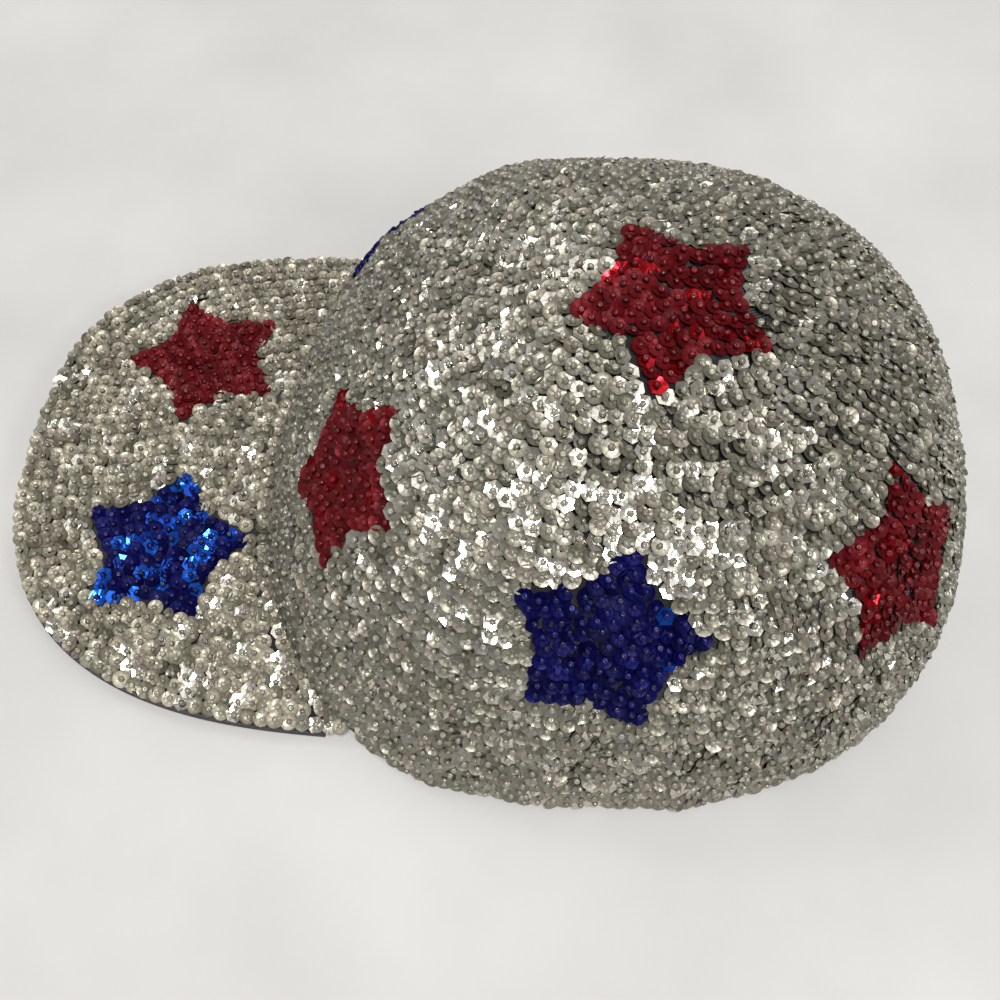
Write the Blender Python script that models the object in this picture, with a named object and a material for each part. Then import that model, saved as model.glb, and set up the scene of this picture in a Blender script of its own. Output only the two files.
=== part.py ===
"""A baseball cap covered all over in beaded sequins, silver with red and blue stars.

The bill points to -Y, +X is the wearer's left and +Z is up. The cap stands on the hem of its crown at z = 0,
and the finished pieces are moved so that the middle of the footprint is the origin.
Crown pieces are laid out on one dome: an angle round the cap from the front, a level from hem to top, and a
depth out from the face of the cloth. Bill pieces share one plan and are stacked by height. All lengths are metres.
"""

import math

import bmesh
import bpy
import numpy as np
from mathutils import Matrix

# Crown dome, measured to the outer face of the cloth
CROWN_HALF_WIDTH = 0.0882
CROWN_FRONT_LENGTH = 0.0811
CROWN_BACK_LENGTH = 0.0990
CROWN_HEIGHT = 0.0925
CROWN_PLAN_POWER = 2.42
CROWN_PROFILE_POWER = 1.92
CROWN_LEAN_BACK = 0.0125

# Panels of the crown
PANEL_COUNT = 6
PANEL_DEG = 360.0 / PANEL_COUNT
PANEL_COLUMNS = (0.0, 0.07, 0.21, 0.355, 0.5, 0.645, 0.79, 0.93, 1.0)
CROWN_LEVELS = 10
CLOTH_THICKNESS = 0.0010
SEAM_GAP = 0.0003
TIP_RADIUS = 0.0022

# Sequin and bead covering
COVER_GAP = 0.0004
COVER_THICKNESS = 0.0023
COVER_HEM_HEIGHT = 0.0022
COVER_OVER_BILL = 0.0006

# Stars set into the covering
STAR_RADIUS = 0.0226
STAR_VALLEY_RADIUS = 0.0140
STAR_POINTS = 5
STAR_FIT_GAP = 0.0003
STAR_HEIGHTS = (0.0530, 0.0548, 0.0555, 0.0365, 0.0470, 0.0400)
STAR_PANEL_SHARES = (0.438, 0.493, 0.408, 0.45, 0.30, 0.267)
STAR_TILTS_DEG = (-9.5, 9.5, 23.5, 8.0, -12.0, 2.0)
STAR_COLOURS = ("red", "blue", "red", "blue", "red", "blue")
TOP_STAR_CENTRE = (0.0058, 0.0164)
TOP_STAR_TILT_DEG = -10.0
TOP_STAR_LEVELS = 4
CUTTER_HALF_LENGTH = 0.016
TOP_CUTTER_HALF_LENGTH = 0.040

# Bill
BILL_CORNER_DEG = 55.0
BILL_HALF_WIDTH = 0.0757
BILL_TIP_Y = -0.1490
BILL_OUTLINE_POWER = 2.74
BILL_CORNER_TRIM = 0.985
BILL_COLUMNS = 26
BILL_ROWS = 5
BILL_TOP_CLOTH_HEIGHT = 0.0086
BILL_ARCH_DROP = 0.0046
BILL_RISE_TO_TIP = 0.0012
BILL_CROWN_GAP = 0.0004
BILL_CLOTH_THICKNESS = 0.0006
BILL_BOARD_THICKNESS = 0.0015
BILL_LAYER_GAP = 0.0003
BINDING_THICKNESS = 0.0008
BILL_STAR_X = 0.0312
BILL_STAR_Y = -0.1072
BILL_STAR_TILTS_DEG = (24.0, -8.0)

# Pieces inside the crown, depths measured inwards from the outer face of the cloth
STIFFENER_OUTER_DEPTH = 0.0013
STIFFENER_INNER_DEPTH = 0.0016
STIFFENER_HALF_DEG = 58.0
STIFFENER_START_HEIGHT = 0.0020
TAPE_OUTER_DEPTH = 0.0019
TAPE_INNER_DEPTH = 0.0024
TAPE_HALF_WIDTH = 0.0060
TAPE_START_HEIGHT = 0.0030
TAPE_END_RADIUS = 0.0130
BAND_OUTER_DEPTH = 0.0032
BAND_INNER_DEPTH = 0.0044
BAND_HEIGHT = 0.0300
BAND_HALF_DEG = 148.0
ELASTIC_OUTER_DEPTH = 0.0034
ELASTIC_INNER_DEPTH = 0.0042
ELASTIC_BOTTOM = 0.0030
ELASTIC_TOP = 0.0270
ELASTIC_HALF_DEG = 30.0

SIDE_NAMES = ("front_left", "left", "back_left", "back_right", "right", "front_right")
SEAM_NAMES = ("front", "front_left", "back_left", "back", "back_right", "front_right")


def clear_scene():
    """Start from an empty scene."""
    for obj in list(bpy.data.objects):
        bpy.data.objects.remove(obj, do_unlink=True)


def make_collection(name, hidden=False):
    """One collection linked to the scene; a hidden one is left out of renders."""
    collection = bpy.data.collections.new(name)
    bpy.context.scene.collection.children.link(collection)
    collection.hide_render = hidden
    return collection


def make_material(name, colour, roughness, metallic=0.0):
    """A plain Principled finish."""
    material = bpy.data.materials.new(name)
    material.use_nodes = True
    shader = material.node_tree.nodes["Principled BSDF"]
    shader.inputs["Base Color"].default_value = (*colour, 1.0)
    shader.inputs["Roughness"].default_value = roughness
    shader.inputs["Metallic"].default_value = metallic
    material.diffuse_color = (*colour, 1.0)
    return material


def silver_sequin_material():
    return make_material("silver_sequins", (0.55, 0.53, 0.48), 0.34, 0.65)


def red_sequin_material():
    return make_material("red_sequins", (0.36, 0.008, 0.018), 0.32, 0.45)


def blue_sequin_material():
    return make_material("blue_sequins", (0.008, 0.016, 0.34), 0.32, 0.45)


def crown_cloth_material():
    return make_material("black_crown_cloth", (0.022, 0.022, 0.026), 0.92)


def bill_cloth_material():
    return make_material("black_bill_cloth", (0.020, 0.020, 0.024), 0.90)


def stiffener_material():
    return make_material("black_buckram", (0.035, 0.035, 0.038), 0.85)


def tape_material():
    return make_material("black_seam_tape", (0.028, 0.028, 0.030), 0.80)


def sweatband_material():
    return make_material("black_sweatband", (0.030, 0.030, 0.034), 0.88)


def elastic_material():
    return make_material("black_elastic", (0.040, 0.040, 0.044), 0.75)


def board_material():
    return make_material("grey_bill_board", (0.30, 0.30, 0.29), 0.60)


def plan_radius(angle):
    """Distance from the centre line to the hem, at an angle from the front towards the wearer's left."""
    across = abs(math.sin(angle)) / CROWN_HALF_WIDTH
    length = CROWN_FRONT_LENGTH if math.cos(angle) > 0 else CROWN_BACK_LENGTH
    along = abs(math.cos(angle)) / length
    total = across**CROWN_PLAN_POWER + along**CROWN_PLAN_POWER
    return total ** (-1.0 / CROWN_PLAN_POWER)


def crown_point(angle, level):
    """A point on the outer face of the cloth; level runs from 0 at the hem to 1 at the top."""
    sweep = level * math.pi / 2
    inwards = max(math.cos(sweep), 0.0) ** (2.0 / CROWN_PROFILE_POWER)
    upwards = math.sin(sweep) ** (2.0 / CROWN_PROFILE_POWER)
    radius = plan_radius(angle) * inwards
    x = radius * math.sin(angle)
    y = -radius * math.cos(angle) + CROWN_LEAN_BACK * upwards
    return np.array((x, y, CROWN_HEIGHT * upwards))


def crown_normal(angle, level):
    """Unit direction out of the cloth, kept level at the hem and upright at the top."""
    if level > 0.9999:
        return np.array((0.0, 0.0, 1.0))
    step = 1e-4
    round_cap = crown_point(angle + step, level) - crown_point(angle - step, level)
    low = max(level - step, 0.0)
    up_cap = crown_point(angle, level + step) - crown_point(angle, low)
    normal = np.cross(round_cap, up_cap)
    if level < step:
        normal[2] = 0.0
    return normal / np.linalg.norm(normal)


def crown_offset(angle, level, depth):
    """A point at a depth out from the cloth, or inside it where the depth is negative."""
    return crown_point(angle, level) + depth * crown_normal(angle, level)


def level_at_height(height):
    """The level at which the cloth reaches a height."""
    share = min(max(height / CROWN_HEIGHT, 0.0), 1.0)
    return math.asin(share ** (CROWN_PROFILE_POWER / 2.0)) * 2.0 / math.pi


def level_at_radius(radius):
    """The level at which the side of the dome comes within a radius of its centre line."""
    share = radius / CROWN_HALF_WIDTH
    return math.acos(share ** (CROWN_PROFILE_POWER / 2.0)) * 2.0 / math.pi


def even_levels(count, top_level):
    """Levels spaced evenly along the side of the dome, from the hem to a top level."""
    fine = np.linspace(0.0, top_level, 400)
    points = np.array([crown_point(math.pi / 2, level) for level in fine])
    steps = np.linalg.norm(np.diff(points, axis=0), axis=1)
    length = np.concatenate(([0.0], np.cumsum(steps)))
    return list(np.interp(np.linspace(0.0, length[-1], count + 1), length, fine))


PANEL_LEVELS = even_levels(CROWN_LEVELS, level_at_radius(TIP_RADIUS))


def seam_inset(level):
    """Angle that leaves half a seam gap beside a seam at this level."""
    sweep = level * math.pi / 2
    radius = CROWN_HALF_WIDTH * math.cos(sweep) ** (2.0 / CROWN_PROFILE_POWER)
    return 0.5 * SEAM_GAP / radius


def panel_angle(panel, share, level):
    """Angle of a column of a panel, from its first seam to its second."""
    first = math.radians(panel * PANEL_DEG)
    second = math.radians((panel + 1) * PANEL_DEG)
    inset = seam_inset(level)
    return (first + inset) + share * (second - first - 2 * inset)


def mesh_object(name, points, faces, collection, material):
    """A mesh object with its normals facing out and its faces shaded smooth."""
    mesh = bpy.data.meshes.new(name)
    mesh.from_pydata([tuple(point) for point in points], [], faces)
    work = bmesh.new()
    work.from_mesh(mesh)
    bmesh.ops.recalc_face_normals(work, faces=work.faces)
    work.to_mesh(mesh)
    work.free()
    mesh.polygons.foreach_set("use_smooth", [True] * len(mesh.polygons))
    if material is not None:
        mesh.materials.append(material)
    obj = bpy.data.objects.new(name, mesh)
    collection.objects.link(obj)
    return obj


def sheet_object(name, outer, inner, collection, material):
    """A sheet with thickness, from matching grids of points for its two faces."""
    rows = len(outer)
    columns = len(outer[0])
    points = [point for row in outer for point in row] + [point for row in inner for point in row]
    shift = rows * columns

    def at(row, column):
        return row * columns + column

    faces = []
    for row in range(rows - 1):
        for column in range(columns - 1):
            quad = (at(row, column), at(row, column + 1), at(row + 1, column + 1), at(row + 1, column))
            faces.append(quad)
            faces.append(tuple(shift + corner for corner in reversed(quad)))
    rim = [at(0, column) for column in range(columns)]
    rim += [at(row, columns - 1) for row in range(1, rows)]
    rim += [at(rows - 1, column) for column in range(columns - 2, -1, -1)]
    rim += [at(row, 0) for row in range(rows - 2, 0, -1)]
    for here, there in zip(rim, rim[1:] + rim[:1]):
        faces.append((there, here, shift + here, shift + there))
    return mesh_object(name, points, faces, collection, material)


def crown_sheet(name, angles, levels, depths, collection, material):
    """A sheet following the dome; angles and levels give each row's columns."""
    grids = []
    for depth in depths:
        grid = []
        for row_angles, row_levels in zip(angles, levels):
            grid.append([crown_offset(a, t, depth) for a, t in zip(row_angles, row_levels)])
        grids.append(grid)
    return sheet_object(name, grids[0], grids[1], collection, material)


def bill_height(x, y):
    """Height of the top cloth of the bill, arched across and rising a little to the tip."""
    arch = BILL_ARCH_DROP * (x / BILL_HALF_WIDTH) ** 2
    forward = (-CROWN_FRONT_LENGTH - y) / (-CROWN_FRONT_LENGTH - BILL_TIP_Y)
    return BILL_TOP_CLOTH_HEIGHT - arch + BILL_RISE_TO_TIP * forward


def cover_hem_level(angle):
    """Level where the covering begins: low all round, and above the bill in front."""
    angle = (angle + math.pi) % (2 * math.pi) - math.pi
    low = level_at_height(COVER_HEM_HEIGHT)
    if abs(angle) > math.radians(BILL_CORNER_DEG + 3.0):
        return low
    edge = crown_point(angle, 0.0)
    height = bill_height(edge[0], edge[1]) + COVER_GAP + COVER_THICKNESS + COVER_OVER_BILL
    return level_at_height(height)


def panel_grid(panel):
    """Angles and levels of a whole panel."""
    angles = [[panel_angle(panel, share, level) for share in PANEL_COLUMNS] for level in PANEL_LEVELS]
    levels = [[level] * len(PANEL_COLUMNS) for level in PANEL_LEVELS]
    return angles, levels


def cover_grid(panel):
    """Angles and levels of the covering on one panel."""
    angles = []
    levels = []
    for row, panel_level in enumerate(PANEL_LEVELS):
        row_angles = []
        row_levels = []
        for share in PANEL_COLUMNS:
            hem = cover_hem_level(panel_angle(panel, share, 0.0))
            if row == 0:
                level = hem
            elif panel_level > hem + 0.01:
                level = panel_level
            else:
                level = hem + 0.35 * (PANEL_LEVELS[row + 1] - hem)
            row_angles.append(panel_angle(panel, share, level))
            row_levels.append(level)
        angles.append(row_angles)
        levels.append(row_levels)
    return angles, levels


def star_outline(margin):
    """Corners of a star in its own plane, grown or shrunk by a margin all round."""
    half_step = math.pi / STAR_POINTS
    run = math.hypot(
        STAR_RADIUS - STAR_VALLEY_RADIUS * math.cos(half_step), STAR_VALLEY_RADIUS * math.sin(half_step)
    )
    edge_distance = STAR_RADIUS * STAR_VALLEY_RADIUS * math.sin(half_step) / run
    scale = (edge_distance + margin) / edge_distance
    corners = []
    for corner in range(2 * STAR_POINTS):
        radius = STAR_VALLEY_RADIUS if corner % 2 else STAR_RADIUS
        turn = corner * half_step
        corners.append((scale * radius * math.sin(turn), scale * radius * math.cos(turn)))
    return corners


def star_cutter(name, centre, outward, up, tilt_deg, margin, half_length, collection):
    """A star-shaped bar through the covering at a star's place."""
    outward = outward / np.linalg.norm(outward)
    up = up - outward * float(up @ outward)
    up = up / np.linalg.norm(up)
    right = np.cross(up, outward)
    tilt = math.radians(tilt_deg)
    spin_up = up * math.cos(tilt) + right * math.sin(tilt)
    spin_right = right * math.cos(tilt) - up * math.sin(tilt)
    corners = star_outline(margin)
    points = []
    for side in (-half_length, half_length):
        for across, along in corners:
            points.append(centre + outward * side + spin_right * across + spin_up * along)
    count = len(corners)
    faces = [tuple(range(count - 1, -1, -1)), tuple(range(count, 2 * count))]
    for here in range(count):
        there = (here + 1) % count
        faces.append((here, there, count + there, count + here))
    cutter = mesh_object(name, points, faces, collection, None)
    cutter.display_type = "WIRE"
    cutter.hide_render = True
    return cutter


def boolean(obj, cutter, operation):
    """Cut a star-shaped hole in a piece, or keep only the star."""
    modifier = obj.modifiers.new(cutter.name, "BOOLEAN")
    modifier.operation = operation
    modifier.solver = "EXACT"
    modifier.object = cutter


def crown_star_place(panel):
    """Centre and outward direction of the star on a panel."""
    angle = math.radians((panel + STAR_PANEL_SHARES[panel]) * PANEL_DEG)
    level = level_at_height(STAR_HEIGHTS[panel])
    return crown_point(angle, level), crown_normal(angle, level)


def crown_star_cutters(panel, collection):
    """Bars for the hole and for the star on one panel."""
    centre, outward = crown_star_place(panel)
    upright = np.array((0.0, 0.0, 1.0))
    tilt = STAR_TILTS_DEG[panel]
    cutters = []
    for use, margin in (("hole", STAR_FIT_GAP / 2), ("star", -STAR_FIT_GAP / 2)):
        name = f"cutter_{use}_{SIDE_NAMES[panel]}"
        cutters.append(
            star_cutter(name, centre, outward, upright, tilt, margin, CUTTER_HALF_LENGTH, collection)
        )
    return cutters


def top_star_cutters(collection):
    """Bars for the hole and for the star at the top of the crown."""
    centre = np.array((TOP_STAR_CENTRE[0], TOP_STAR_CENTRE[1], CROWN_HEIGHT))
    outward = np.array((0.0, 0.0, 1.0))
    forward = np.array((0.0, -1.0, 0.0))
    cutters = []
    for use, margin in (("hole", STAR_FIT_GAP / 2), ("star", -STAR_FIT_GAP / 2)):
        name = f"cutter_{use}_top"
        cutters.append(
            star_cutter(
                name, centre, outward, forward, TOP_STAR_TILT_DEG, margin, TOP_CUTTER_HALF_LENGTH, collection
            )
        )
    return cutters


def bill_star_cutters(side, tilt, name, collection):
    """Bars for the hole and for the star on one half of the bill."""
    x = side * BILL_STAR_X
    centre = np.array((x, BILL_STAR_Y, bill_height(x, BILL_STAR_Y)))
    outward = np.array((0.0, 0.0, 1.0))
    forward = np.array((0.0, -1.0, 0.0))
    cutters = []
    for use, margin in (("hole", STAR_FIT_GAP / 2), ("star", -STAR_FIT_GAP / 2)):
        cutters.append(
            star_cutter(
                f"cutter_{use}_{name}", centre, outward, forward, tilt, margin, CUTTER_HALF_LENGTH, collection
            )
        )
    return cutters


def make_panels(collection, material):
    """Six cloth panels, seam to seam and hem to top."""
    for panel, side in enumerate(SIDE_NAMES):
        angles, levels = panel_grid(panel)
        crown_sheet(f"crown_panel_{side}", angles, levels, (0.0, -CLOTH_THICKNESS), collection, material)


def make_crown_cover(collection, cutters, silver, star_materials):
    """Silver covering and a star on each panel, with the top star's place left open."""
    outer = COVER_GAP + COVER_THICKNESS
    top_hole, top_star = top_star_cutters(cutters)
    for panel, side in enumerate(SIDE_NAMES):
        angles, levels = cover_grid(panel)
        hole, star = crown_star_cutters(panel, cutters)
        cover = crown_sheet(f"silver_cover_{side}", angles, levels, (outer, COVER_GAP), collection, silver)
        boolean(cover, hole, "DIFFERENCE")
        boolean(cover, top_hole, "DIFFERENCE")
        inlay_name = f"star_{STAR_COLOURS[panel]}_{side}"
        finish = star_materials[STAR_COLOURS[panel]]
        inlay = crown_sheet(inlay_name, angles, levels, (outer, COVER_GAP), collection, finish)
        boolean(inlay, star, "INTERSECT")
    return top_star


def make_top_star(collection, cutter, material):
    """The star over the top of the crown, cut from a whole dome top."""
    levels = PANEL_LEVELS[-1 - TOP_STAR_LEVELS :]
    angles = []
    for panel in range(PANEL_COUNT):
        angles += [math.radians((panel + share) * PANEL_DEG) for share in PANEL_COLUMNS[:-1]]
    around = len(angles)
    points = []
    for depth in (COVER_GAP + COVER_THICKNESS, COVER_GAP):
        for level in levels:
            points += [crown_offset(angle, level, depth) for angle in angles]
        points.append(crown_offset(0.0, 1.0, depth))
    layer = len(points) // 2
    faces = []
    for row in range(len(levels) - 1):
        for here in range(around):
            there = (here + 1) % around
            low = row * around
            high = low + around
            quad = (low + here, low + there, high + there, high + here)
            faces.append(quad)
            faces.append(tuple(layer + corner for corner in reversed(quad)))
    last = (len(levels) - 1) * around
    for here in range(around):
        there = (here + 1) % around
        faces.append((last + here, last + there, layer - 1))
        faces.append((layer + last + there, layer + last + here, 2 * layer - 1))
        faces.append((there, here, layer + here, layer + there))
    obj = mesh_object("star_red_top", points, faces, collection, material)
    boolean(obj, cutter, "INTERSECT")


def bill_inner_point(share):
    """Plan point of the seam edge of the bill; share runs from -1 to 1 across."""
    angle = math.radians(share * BILL_CORNER_DEG)
    return crown_offset(angle, 0.0, BILL_CROWN_GAP)[:2]


def bill_outer_point(share):
    """Plan point of the free edge of the bill."""
    corner = crown_point(math.radians(BILL_CORNER_DEG), 0.0)
    turn = share * math.pi / 2
    x = BILL_HALF_WIDTH * math.copysign(abs(math.sin(turn)) ** (2.0 / BILL_OUTLINE_POWER), turn)
    y = corner[1] + (BILL_TIP_Y - corner[1]) * math.cos(turn) ** (2.0 / BILL_OUTLINE_POWER)
    return np.array((x, y))


def bill_shares():
    """Columns across the bill, closer together towards the corners."""
    spread = np.linspace(-1.0, 1.0, BILL_COLUMNS + 1)
    return [BILL_CORNER_TRIM * math.sin(value * math.pi / 2) for value in spread]


def bill_layer(name, top, bottom, collection, material):
    """One layer of the bill, between two heights above its top cloth."""
    grids = []
    for height in (top, bottom):
        grid = []
        for row in range(BILL_ROWS + 1):
            blend = row / BILL_ROWS
            line = []
            for share in bill_shares():
                plan = bill_inner_point(share) * (1 - blend) + bill_outer_point(share) * blend
                line.append(np.array((plan[0], plan[1], bill_height(plan[0], plan[1]) + height)))
            grid.append(line)
        grids.append(grid)
    return sheet_object(name, grids[0], grids[1], collection, material)


def bill_underside():
    """Depth of the lowest cloth face below the top cloth face."""
    return 2 * BILL_CLOTH_THICKNESS + 2 * BILL_LAYER_GAP + BILL_BOARD_THICKNESS


def make_bill_binding(collection, material):
    """Strip of cloth round the free edge of the bill."""
    outline = [bill_outer_point(share) for share in bill_shares()]
    grids = []
    for distance in (BILL_LAYER_GAP + BINDING_THICKNESS, BILL_LAYER_GAP):
        lower = []
        upper = []
        for index, plan in enumerate(outline):
            before = outline[max(index - 1, 0)]
            after = outline[min(index + 1, len(outline) - 1)]
            along = after - before
            along = along / np.linalg.norm(along)
            outward = np.array((along[1], -along[0]))
            place = plan + outward * distance
            height = bill_height(plan[0], plan[1])
            lower.append(np.array((place[0], place[1], height - bill_underside())))
            upper.append(np.array((place[0], place[1], height)))
        grids.append([lower, upper])
    sheet_object("bill_edge_binding", grids[0], grids[1], collection, material)


def make_bill(collection, cutters, cloth, board, silver, star_materials):
    """Board between two cloths, edge binding, and the covering with its two stars."""
    top = 0.0
    bottom = -BILL_CLOTH_THICKNESS
    bill_layer("bill_top_cloth", top, bottom, collection, cloth)
    top = bottom - BILL_LAYER_GAP
    bottom = top - BILL_BOARD_THICKNESS
    bill_layer("bill_board", top, bottom, collection, board)
    top = bottom - BILL_LAYER_GAP
    bottom = top - BILL_CLOTH_THICKNESS
    bill_layer("bill_under_cloth", top, bottom, collection, cloth)
    make_bill_binding(collection, cloth)
    outer = COVER_GAP + COVER_THICKNESS
    cover = bill_layer("silver_cover_bill", outer, COVER_GAP, collection, silver)
    halves = (("blue", 1.0, BILL_STAR_TILTS_DEG[0]), ("red", -1.0, BILL_STAR_TILTS_DEG[1]))
    for colour, side, tilt in halves:
        hole, star = bill_star_cutters(side, tilt, f"bill_{colour}", cutters)
        boolean(cover, hole, "DIFFERENCE")
        inlay = bill_layer(f"star_{colour}_bill", outer, COVER_GAP, collection, star_materials[colour])
        boolean(inlay, star, "INTERSECT")


def ring_sheet(name, first_deg, last_deg, heights, depths, collection, material):
    """A band inside the crown between two angles, with its columns at the panels' columns."""
    first = math.radians(first_deg)
    last = math.radians(last_deg)
    inside = []
    for panel in range(-PANEL_COUNT, PANEL_COUNT):
        inside += [math.radians((panel + share) * PANEL_DEG) for share in PANEL_COLUMNS[:-1]]
    margin = math.radians(1.5)
    columns = [first] + [angle for angle in inside if first + margin < angle < last - margin] + [last]
    levels = [[level_at_height(height)] * len(columns) for height in heights]
    angles = [columns] * len(heights)
    outer, inner = depths
    crown_sheet(name, angles, levels, (-outer, -inner), collection, material)


def panel_heights(low, high):
    """Heights of the panels' levels that lie between two heights, with the two ends."""
    own = [crown_point(0.0, level)[2] for level in PANEL_LEVELS]
    margin = 0.002
    return [low] + [height for height in own if low + margin < height < high - margin] + [high]


def make_inside(collection, stiffener, tape, band, elastic):
    """Front stiffener, seam tapes, sweatband and back elastic."""
    top = crown_point(0.0, PANEL_LEVELS[-2])[2]
    heights = panel_heights(STIFFENER_START_HEIGHT, top)
    depths = (STIFFENER_OUTER_DEPTH, STIFFENER_INNER_DEPTH)
    half = STIFFENER_HALF_DEG
    ring_sheet("front_stiffener", -half, half, heights, depths, collection, stiffener)
    make_tapes(collection, tape)
    depths = (BAND_OUTER_DEPTH, BAND_INNER_DEPTH)
    heights = panel_heights(0.0, BAND_HEIGHT)
    ring_sheet("sweatband", -BAND_HALF_DEG, BAND_HALF_DEG, heights, depths, collection, band)
    depths = (ELASTIC_OUTER_DEPTH, ELASTIC_INNER_DEPTH)
    heights = panel_heights(ELASTIC_BOTTOM, ELASTIC_TOP)
    first = 180.0 - ELASTIC_HALF_DEG
    last = 180.0 + ELASTIC_HALF_DEG
    ring_sheet("back_elastic", first, last, heights, depths, collection, elastic)


def make_tapes(collection, material):
    """A tape over each panel seam, inside the crown."""
    start = level_at_height(TAPE_START_HEIGHT)
    end = level_at_radius(TAPE_END_RADIUS)
    levels = [start] + [level for level in PANEL_LEVELS if start + 0.02 < level < end - 0.02] + [end]
    for seam, name in enumerate(SEAM_NAMES):
        centre = math.radians(seam * PANEL_DEG)
        angles = []
        for level in levels:
            point = crown_point(centre, level)
            apex = crown_point(centre, 1.0)
            share = point[2] / CROWN_HEIGHT
            radius = math.hypot(point[0], point[1] - apex[1] * share)
            swing = TAPE_HALF_WIDTH / radius
            angles.append([centre - swing, centre, centre + swing])
        rows = [[level] * 3 for level in levels]
        depths = (-TAPE_OUTER_DEPTH, -TAPE_INNER_DEPTH)
        crown_sheet(f"seam_tape_{name}", angles, rows, depths, collection, material)


def centre_on_footprint(cap, cutters):
    """Move every piece so that the middle of the cap's footprint is the origin."""
    corners = []
    for obj in cap.objects:
        corners += [vertex.co[:] for vertex in obj.data.vertices]
    low = np.min(corners, axis=0)
    high = np.max(corners, axis=0)
    shift = (-(low[0] + high[0]) / 2, -(low[1] + high[1]) / 2, -low[2])
    for obj in list(cap.objects) + list(cutters.objects):
        obj.data.transform(Matrix.Translation(shift))


def main():
    clear_scene()
    cap = make_collection("sequin_baseball_cap")
    cutters = make_collection("cutters", hidden=True)
    cloth = crown_cloth_material()
    silver = silver_sequin_material()
    stars = {"red": red_sequin_material(), "blue": blue_sequin_material()}
    make_panels(cap, cloth)
    top_star = make_crown_cover(cap, cutters, silver, stars)
    make_top_star(cap, top_star, stars["red"])
    make_bill(cap, cutters, bill_cloth_material(), board_material(), silver, stars)
    make_inside(cap, stiffener_material(), tape_material(), sweatband_material(), elastic_material())
    centre_on_footprint(cap, cutters)


main()
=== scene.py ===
"""Looks of a baseball cap covered all over in beaded sequins, silver with red and blue stars.

Every sequin is a real cup with its bead, sewn in rows on the dome of the crown and on the arch of the bill,
over black cloth. All lengths are metres in the frame's own axes; the bill points to -Y, the cap's left is +X.
"""

import math

import bpy
import numpy as np
from mathutils import Matrix, Vector
from mathutils.kdtree import KDTree


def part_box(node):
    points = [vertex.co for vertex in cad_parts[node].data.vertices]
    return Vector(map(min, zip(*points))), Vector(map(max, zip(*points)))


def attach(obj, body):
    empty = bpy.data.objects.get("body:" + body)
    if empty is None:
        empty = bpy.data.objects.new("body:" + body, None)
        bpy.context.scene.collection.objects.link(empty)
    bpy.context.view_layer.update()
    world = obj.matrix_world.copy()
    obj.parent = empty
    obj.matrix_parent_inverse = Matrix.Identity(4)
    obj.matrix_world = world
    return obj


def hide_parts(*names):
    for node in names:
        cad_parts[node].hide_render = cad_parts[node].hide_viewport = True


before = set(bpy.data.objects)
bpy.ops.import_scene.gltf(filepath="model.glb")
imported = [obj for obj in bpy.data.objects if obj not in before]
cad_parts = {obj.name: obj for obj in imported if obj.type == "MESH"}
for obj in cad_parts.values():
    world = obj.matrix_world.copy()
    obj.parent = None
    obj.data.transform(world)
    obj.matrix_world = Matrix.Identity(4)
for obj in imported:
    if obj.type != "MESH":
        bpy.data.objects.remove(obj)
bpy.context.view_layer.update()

RNG = np.random.default_rng(7)

# Dome of the crown, to the outer face of its cloth
DOME_HALF_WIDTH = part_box("crown_panel_left")[1][0]
DOME_HEIGHT = 0.0925
DOME_FRONT = 0.0811
DOME_BACK = 0.0990
DOME_PLAN_POWER = 2.42
DOME_PROFILE_POWER = 1.92
DOME_LEAN = 0.0125
DOME_TOP_LEVEL = 0.996
DOME_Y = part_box("crown_panel_front_left")[0][1] + DOME_FRONT
CLOTH = 0.0010
SIDES = ("front_left", "left", "back_left", "back_right", "right", "front_right")
SEAMS = ("front", "front_left", "back_left", "back", "back_right", "front_right")
PANEL = math.radians(60.0)

# Bill
BILL_CORNER = math.radians(55.0)
BILL_HALF_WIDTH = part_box("silver_cover_bill")[1][0]
BILL_TIP_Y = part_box("silver_cover_bill")[0][1]
BILL_POWER = 2.74
BILL_TOP = 0.0086
BILL_ARCH = 0.0046
BILL_RISE = 0.0012
BILL_THICK = 0.0033
BILL_CLOTH = 0.0006
BILL_TRIM = 0.985
BILL_HEM_GAP = 0.0004

# Stars: one on each panel, a share of the way round it; tilts are in degrees
STAR_RADIUS = 0.0226
STAR_VALLEY = 0.0140
STAR_POINTS = 5
STAR_DEPTH = 0.03
STAR_COLOURS = ("red", "blue", "red", "blue", "red", "blue")
STAR_HEIGHTS = (0.0530, 0.0548, 0.0555, 0.0365, 0.0470, 0.0400)
STAR_SHARES = (0.438, 0.493, 0.408, 0.45, 0.30, 0.267)
STAR_TILTS = (-9.5, 9.5, 23.5, 8.0, -12.0, 2.0)
TOP_STAR = (0.0058, 0.0164)
TOP_STAR_TILT = -10.0
BILL_STARS = (("blue", 0.0312, 24.0), ("red", -0.0312, -8.0))
BILL_STAR_Y = -0.1072

# Rows of sequins
PITCH = 0.00330
ROW_PITCH = 0.00318
SEQUIN_RADIUS = 0.00214
HEM_ROW = 0.0029
LOWEST_ROW = HEM_ROW * 0.9
TOP_ROW_LEVEL = 0.995
STAR_PITCH = PITCH * 0.98
STAR_ROW_PITCH = ROW_PITCH * 0.92
STAR_NEAREST = PITCH * 0.72
STAR_MIDDLE = 0.0012
STAR_INSET = 0.0013
STAR_CLEAR = 0.0016
STAR_MARGIN = 0.0004
STAR_JITTER = 0.00030
NEXT_ROW = 0.0024
JOIN_ROW = 0.0018
JOIN_NEAREST = JOIN_ROW * 0.8
JOIN_CORNER = BILL_CORNER + 0.02
BILL_EDGE_ROW = 0.0009
BILL_EDGE_PITCH = PITCH * 1.02
BILL_ROWS = 29
SETTLE_ROUNDS = 5
CROWDED = 0.0029
GAP = 0.0025
TRIAL_PITCH = 0.0011
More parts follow.
